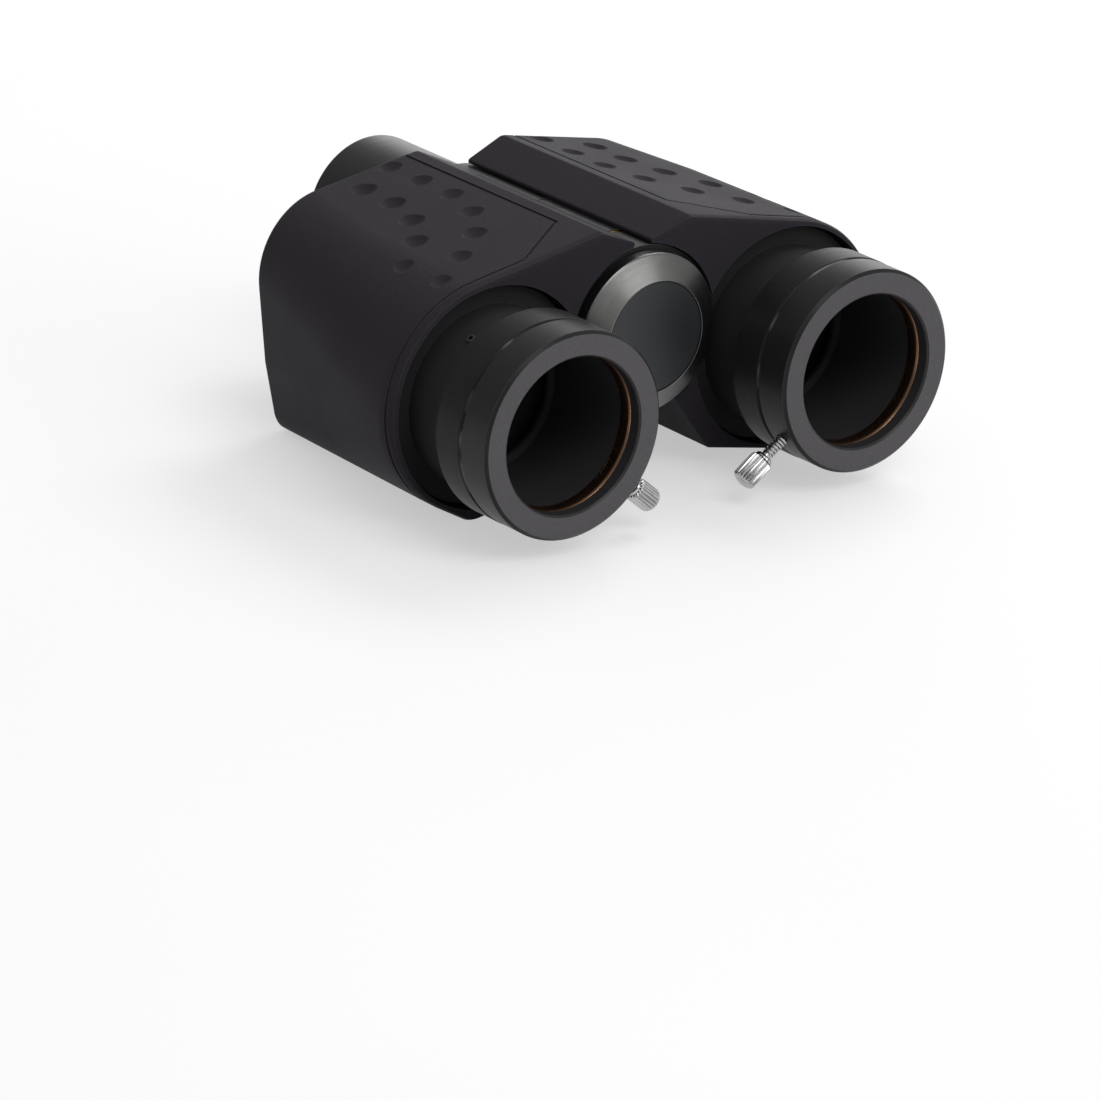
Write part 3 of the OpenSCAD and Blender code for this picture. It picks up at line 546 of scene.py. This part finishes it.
def bridge(bm, low, high):
    """Faces between two closed rows of as many points."""
    faces = []
    for i in range(len(low)):
        k = (i + 1) % len(low)
        faces.append(bm.faces.new((low[i], low[k], high[k], high[i])))
    return faces


def smooth_by_angle(mesh, degrees):
    mesh.shade_smooth()
    mesh.set_sharp_from_angle(angle=math.radians(degrees))


def apply_modifiers(obj):
    bpy.context.view_layer.update()
    shown = obj.evaluated_get(bpy.context.evaluated_depsgraph_get())
    mesh = bpy.data.meshes.new_from_object(shown)
    obj.modifiers.clear()
    obj.data = mesh


def stands_for(obj, node):
    """The piece rides with a CAD node's body and is shown instead of it."""
    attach(obj, frame["nodes"][node]["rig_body"])
    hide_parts(node)


def softened(node, width, segments=2):
    """A copy of a CAD node with small rounds on its edges, as a casting or a turned part has."""
    weld_within = 0.002 * MM
    flat_within = math.radians(0.4)
    rounded_from = math.radians(28.0)

    mesh = frame["nodes"][node].data.copy()
    bm = bmesh.new()
    bm.from_mesh(mesh)
    bmesh.ops.remove_doubles(bm, verts=bm.verts, dist=weld_within)
    bmesh.ops.dissolve_limit(bm, angle_limit=flat_within, verts=bm.verts, edges=bm.edges)
    bm.to_mesh(mesh)
    bm.free()

    obj = new_object(node + "_finished", mesh, material_for(node))
    bevel = obj.modifiers.new("rounds", "BEVEL")
    bevel.width = width
    bevel.segments = segments
    bevel.limit_method = "ANGLE"
    bevel.angle_limit = rounded_from
    bevel.use_clamp_overlap = True
    apply_modifiers(obj)

    smooth_by_angle(obj.data, SHARP)
    flats = obj.modifiers.new("flats", "WEIGHTED_NORMAL")
    flats.mode = "FACE_AREA"
    flats.keep_sharp = True
    flats.weight = 100
    apply_modifiers(obj)
    stands_for(obj, node)


def lathe(name, profile, segments, shape, base, axis, material, groove_shade, deep):
    """A closed turned piece. profile is (radius, height) from one end to the other, and
    shape(radius, height, turn) gives the radius at each place, so it can carry flutes or a thread.
    Faces that lie deeper than deep below the profile take the groove material, a near-black that
    paints shade into the flutes and thread."""
    bm = bmesh.new()
    rings = []
    depth = {}
    for radius, height in profile:
        ring = []
        for i in range(segments):
            turn = i / segments
            r = shape(radius, height, turn)
            angle = 2 * math.pi * turn
            vert = bm.verts.new((r * math.cos(angle), r * math.sin(angle), height))
            depth[vert] = radius - r
            ring.append(vert)
        rings.append(ring)
    for low, high in zip(rings, rings[1:]):
        for face in bridge(bm, low, high):
            if sum(depth[v] for v in face.verts) / 4 > deep:
                face.material_index = 1
    bm.faces.new(list(reversed(rings[0])))
    bm.faces.new(rings[-1])
    mesh = mesh_from(bm, name)
    turn_to = Vector(axis).to_track_quat("Z", "Y").to_matrix().to_4x4()
    mesh.transform(Matrix.Translation(base) @ turn_to)
    obj = new_object(name, mesh, material)
    mesh.materials.append(groove_shade)
    return obj


def hoop(name, profile, segments, base, material):
    """A turned ring about the Y direction: profile is a closed outline of (radius, y)."""
    bm = bmesh.new()
    outlines = []
    for i in range(segments):
        angle = 2 * math.pi * i / segments
        x, z = math.cos(angle), math.sin(angle)
        outlines.append(
            [bm.verts.new((base.x + r * x, y, base.z + r * z)) for r, y in profile]
        )
    for i, here in enumerate(outlines):
        bridge(bm, here, outlines[(i + 1) % segments])
    bmesh.ops.recalc_face_normals(bm, faces=bm.faces)
    mesh = mesh_from(bm, name)
    obj = new_object(name, mesh, material)
    smooth_by_angle(mesh, SHARP)
    return obj


def joined(objects):
    """One object from several that make up one real piece."""
    first = objects[0]
    bm = bmesh.new()
    for obj in objects:
        bm.from_mesh(obj.data)
    bm.to_mesh(first.data)
    bm.free()
    for obj in objects[1:]:
        bpy.data.objects.remove(obj)
    return first


def reach_along(node, origin, axis):
    """Distances along an axis between which a CAD node lies, and its farthest from the axis."""
    places = [v.co - origin for v in frame["nodes"][node].data.vertices]
    along = [p.dot(axis) for p in places]
    far = max((p - axis * a).length for p, a in zip(places, along))
    return min(along), max(along), far


# ----------------------------------------------------------------- brass rings

BRASS_T = 0.8 * MM
BRASS_CROWN = 0.45 * MM
BRASS_STEPS = 10
BRASS_SEGMENTS = 128
BRASS_EDGE = 0.1 * MM


def make_brass_ring(side):
    """The compression ring, crowned on the inside so that it grips evenly."""
    node = side + "_brass_ring"
    low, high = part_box(node)
    outer = (high.x - low.x) / 2
    inner = outer - BRASS_T
    half = (high.y - low.y) / 2
    middle = (high.y + low.y) / 2
    profile = [(outer, middle - half + BRASS_EDGE), (outer, middle + half - BRASS_EDGE)]
    for i in range(BRASS_STEPS + 1):
        across = 1.0 - 2.0 * i / BRASS_STEPS
        crown = BRASS_CROWN * math.sqrt(max(0.0, 1.0 - across * across))
        profile.append((inner + BRASS_EDGE - crown, middle + half * across))
    ring = hoop(node + "_crowned", profile, BRASS_SEGMENTS, barrel_axis[side], BRASS[side])
    stands_for(ring, node)


# --------------------------------------------------------------- filter thread

FILTER_R = 14.25 * MM
FILTER_L = 4.4 * MM
FILTER_PITCH = 0.6 * MM
FILTER_DEPTH = 0.32 * MM
FILTER_INSET = 0.35 * MM  # from the nosepiece's end to the thread
FILTER_GAP = 0.02 * MM  # from the CAD node's wall to the thread's roots
FILTER_SUNK = 0.1 * MM  # depth of the sleeve's back in that wall
FILTER_SEGMENTS = 96
FILTER_ROWS = 6  # rows of points for each turn of the thread
FILTER_FADE = 5.0  # rows over which the thread runs out at each end
FILTER_SHARP = 50.0


def make_filter_thread():
    """A helical thread cut inside the nosepiece's end, as a sleeve that rides with it."""
    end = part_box("nosepiece")[1].y - FILTER_INSET
    start = end - FILTER_L
    steps = int(FILTER_L / (FILTER_PITCH / FILTER_ROWS))
    bm = bmesh.new()
    rows = []
    for k in range(steps + 1):
        y = start + FILTER_L * k / steps
        fade = min(1.0, (steps - k) / FILTER_FADE, k / FILTER_FADE)
        row = []
        for i in range(FILTER_SEGMENTS):
            turn = i / FILTER_SEGMENTS
            phase = (y / FILTER_PITCH - turn) % 1.0
            r = FILTER_R - FILTER_GAP - fade * FILTER_DEPTH * abs(2.0 * phase - 1.0)
            angle = 2 * math.pi * turn
            row.append(bm.verts.new((r * math.cos(angle), y, r * math.sin(angle))))
        rows.append(row)
    back = []
    for row in (rows[-1], rows[0]):
        ring = []
        for vert in row:
            x, y, z = vert.co
            grow = (FILTER_R + FILTER_SUNK) / math.hypot(x, z)
            ring.append(bm.verts.new((x * grow, y, z * grow)))
        back.append(ring)
    loop = rows + back + [rows[0]]
    for low, high in zip(loop, loop[1:]):
        bridge(bm, low, high)
    bmesh.ops.recalc_face_normals(bm, faces=bm.faces)
    mesh = mesh_from(bm, "filter_thread")
    sleeve = new_object("filter_thread", mesh, NOSE)
    smooth_by_angle(mesh, FILTER_SHARP)
    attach(sleeve, frame["nodes"]["nosepiece"]["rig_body"])


# ----------------------------------------------------------------- thumbscrews

HEAD_L = 7.0 * MM
FLUTES = 20
FLUTE_DEPTH = 0.36 * MM
FLUTE_REACH = 0.55 * MM  # the flutes run out this far inside the head's radius
FLUTE_SIDES = 0.75  # share of a flute's pitch that its two slanted sides take
FLUTE_POINTS = 10
# A flute's faces deeper than the next value take the near-black groove metal: painted shade.
FLUTE_SHADED = 0.22 * FLUTE_DEPTH  # deeper than this a flute looks dark

# The head's outline in mm, as (inset from its radius, height above its underside)
HEAD_NEAR = [
    (1.15, 0.0), (0.75, 0.06), (0.62, 0.20), (0.56, 0.75),
    (0.30, 0.85), (0.06, 1.10), (0.0, 1.30),
]
# and as (inset from its radius, depth below its top)
HEAD_FAR = [
    (0.0, 0.70), (0.08, 0.50), (0.35, 0.25), (0.60, 0.10),
    (0.85, 0.0), (1.30, 0.0), (1.55, 0.18),
]

SHANK_R = 1.25 * MM
SHANK_SUNK = 0.3 * MM  # length inside the head
SHANK_SEGMENTS = 48
TIP_R = SHANK_R * 0.62
TIP_CONE = 0.4 * MM
TIP_PLAIN = 0.5 * MM  # no thread nearer the tip than this
NECK_PLAIN = 0.6 * MM  # nor nearer the head, where the shank is as thin as the thread's root
PITCH = 0.7 * MM
PITCH_ROWS = 8
THREAD_DEPTH = 0.22 * MM
# The thread's faces deeper than this take the near-black groove metal: painted shade.
THREAD_SHADED = 0.55 * THREAD_DEPTH
SCREW_SHARP = 40.0


def make_thumbscrew(side):
    """A lock screw: a straight-knurled head on a threaded shank."""
    node = side + "_thumbscrew"
    joint = next(j for j in frame["joints"] if j["name"] == side + "_screw")
    axis = Vector(joint["axis"]).normalized()
    origin = Vector((barrel_axis[side].x, centre_of(node).y, barrel_axis[side].z))
    tip, top, radius = reach_along(node, origin, axis)
    under = top - HEAD_L

    def knurl(r, height, turn):
        floor = radius - FLUTE_REACH
        if r < floor:
            return r
        from_groove = abs((FLUTES * turn + 0.5) % 1.0 - 0.5) * 2.0
        tooth = min(1.0, from_groove / FLUTE_SIDES)
        return r - FLUTE_DEPTH * (1.0 - tooth) * (r - floor) / (radius - floor)

    def thread(r, height, turn):
        if height > under - NECK_PLAIN:
            return r - THREAD_DEPTH
        if height < tip + TIP_PLAIN:
            return r
        phase = (height / PITCH - turn) % 1.0
        return r - THREAD_DEPTH * abs(2.0 * phase - 1.0)

    head = [(radius - inset * MM, under + up * MM) for inset, up in HEAD_NEAR]
    head += [(radius - inset * MM, top - down * MM) for inset, down in HEAD_FAR]
    start = tip + TIP_CONE
    end = under + SHANK_SUNK
    steps = int((end - tip) / (PITCH / PITCH_ROWS))
    shank = [(TIP_R, tip)]
    shank += [(SHANK_R, start + (end - start) * i / steps) for i in range(steps + 1)]

    forms = {
        "_head": (head, FLUTES * FLUTE_POINTS, knurl, FLUTE_SHADED),
        "_shank": (shank, SHANK_SEGMENTS, thread, THREAD_SHADED),
    }
    screw = joined(
        [
            lathe(node + part, profile, segments, shape, origin, axis, CHROME, SHADED_CHROME, deep)
            for part, (profile, segments, shape, deep) in forms.items()
        ]
    )
    screw.name = node + "_detailed"
    smooth_by_angle(screw.data, SCREW_SHARP)
    stands_for(screw, node)


# -------------------------------------------------------------- all the pieces

# Width of the rounds on each side's castings and turned parts
SIDE_ROUNDS = {
    "housing": 0.28 * MM,
    "rear_cover": 0.2 * MM,
    "eyepiece_holder": 0.12 * MM,
    "diopter_ring": 0.12 * MM,
    "barrel_base": 0.12 * MM,
}
HINGE_ROUNDS = {"cap_ring": 0.15 * MM, "nosepiece": 0.2 * MM}

for side in SIDES:
    for part, width in SIDE_ROUNDS.items():
        softened(side + "_" + part, width)
    make_thumbscrew(side)
    make_brass_ring(side)
for part, width in HINGE_ROUNDS.items():
    softened(part, width, segments=3)
make_filter_thread()


# ----------------------------------------------------------- camera and lights

# From the point where the hinge axis meets the plane of the front faces
CAMERA_OFFSET = Vector((-0.70004, -0.84199, 0.37912))
CAMERA_TURN = (69.0613, -2.2236, -37.1798)  # degrees
LENS = 194.02
SENSOR = 36.0

TARGET = (0.0, -0.03, 0.0)
# name: (place, width and height, watts). Each faces the target
LAMPS = {
    "back_softbox": ((0.80, 1.00, 0.30), (2.2, 0.6), 6.5),
    "top_softbox": ((0.80, 0.24, 0.93), (0.7, 0.5), 6.0),
    "front_right": ((0.45, -1.15, 0.50), (0.7, 0.5), 2.6),
    "front_top": ((-0.10, -0.95, 1.05), (0.7, 0.6), 4.8),
}
WORLD_STRENGTH = 0.45
FLOOR_HALF = 6.0
FLOOR_GLOW = 0.50  # light that only a view of the floor sees, so that it shows white


def make_camera():
    data = bpy.data.cameras.new("camera")
    data.lens = LENS
    data.sensor_width = SENSOR
    data.clip_end = 20.0
    camera = bpy.data.objects.new("camera", data)
    camera.location = Vector((0.0, face_y, 0.0)) + CAMERA_OFFSET
    camera.rotation_euler = Euler([math.radians(a) for a in CAMERA_TURN], "XYZ")
    bpy.context.scene.collection.objects.link(camera)
    bpy.context.scene.camera = camera


def make_floor():
    """Plain pale floor: white to the eye, and it keeps the shadow."""
    bm = bmesh.new()
    bmesh.ops.create_grid(bm, x_segments=4, y_segments=4, size=FLOOR_HALF)
    mesh = mesh_from(bm, "floor")
    g = Graph("floor_paper")
    tone = g.spread(g.noise(g.place(), scale=4.0, detail=2.0))
    paper = g.mix(tone, grey(0.49), grey(0.51))
    matt = g.add("ShaderNodeBsdfDiffuse", {"Color": paper}).outputs[0]
    path = g.add("ShaderNodeLightPath").outputs
    seen = g.math("MAXIMUM", path["Is Camera Ray"], path["Is Glossy Ray"])
    seen = g.math("MAXIMUM", seen, path["Is Transmission Ray"])
    strength = g.math("MULTIPLY", seen, FLOOR_GLOW)
    glow = g.add("ShaderNodeEmission", {"Color": grey(1.0), "Strength": strength}).outputs[0]
    both = g.add("ShaderNodeAddShader", {0: matt, 1: glow}).outputs[0]
    g.tree.links.new(both, g.output.inputs[0])
    floor = new_object("floor", mesh, g.material)
    floor.location.z = floor_z


def area_lamp(name, place, size, watts):
    data = bpy.data.lights.new(name, "AREA")
    data.shape = "RECTANGLE"
    data.size, data.size_y = size
    data.energy = watts
    lamp = bpy.data.objects.new(name, data)
    lamp.location = place
    lamp.rotation_euler = (Vector(TARGET) - Vector(place)).to_track_quat("-Z", "Y").to_euler()
    bpy.context.scene.collection.objects.link(lamp)


def make_world():
    """Even white light from all round."""
    world = bpy.data.worlds.new("studio")
    bpy.context.scene.world = world
    world.use_nodes = True
    background = world.node_tree.nodes["Background"]
    background.inputs["Color"].default_value = grey(1.0)
    background.inputs["Strength"].default_value = WORLD_STRENGTH


make_camera()
make_floor()
for name, (place, size, watts) in LAMPS.items():
    area_lamp(name, place, size, watts)
make_world()

bpy.context.scene.view_settings.view_transform = "Standard"
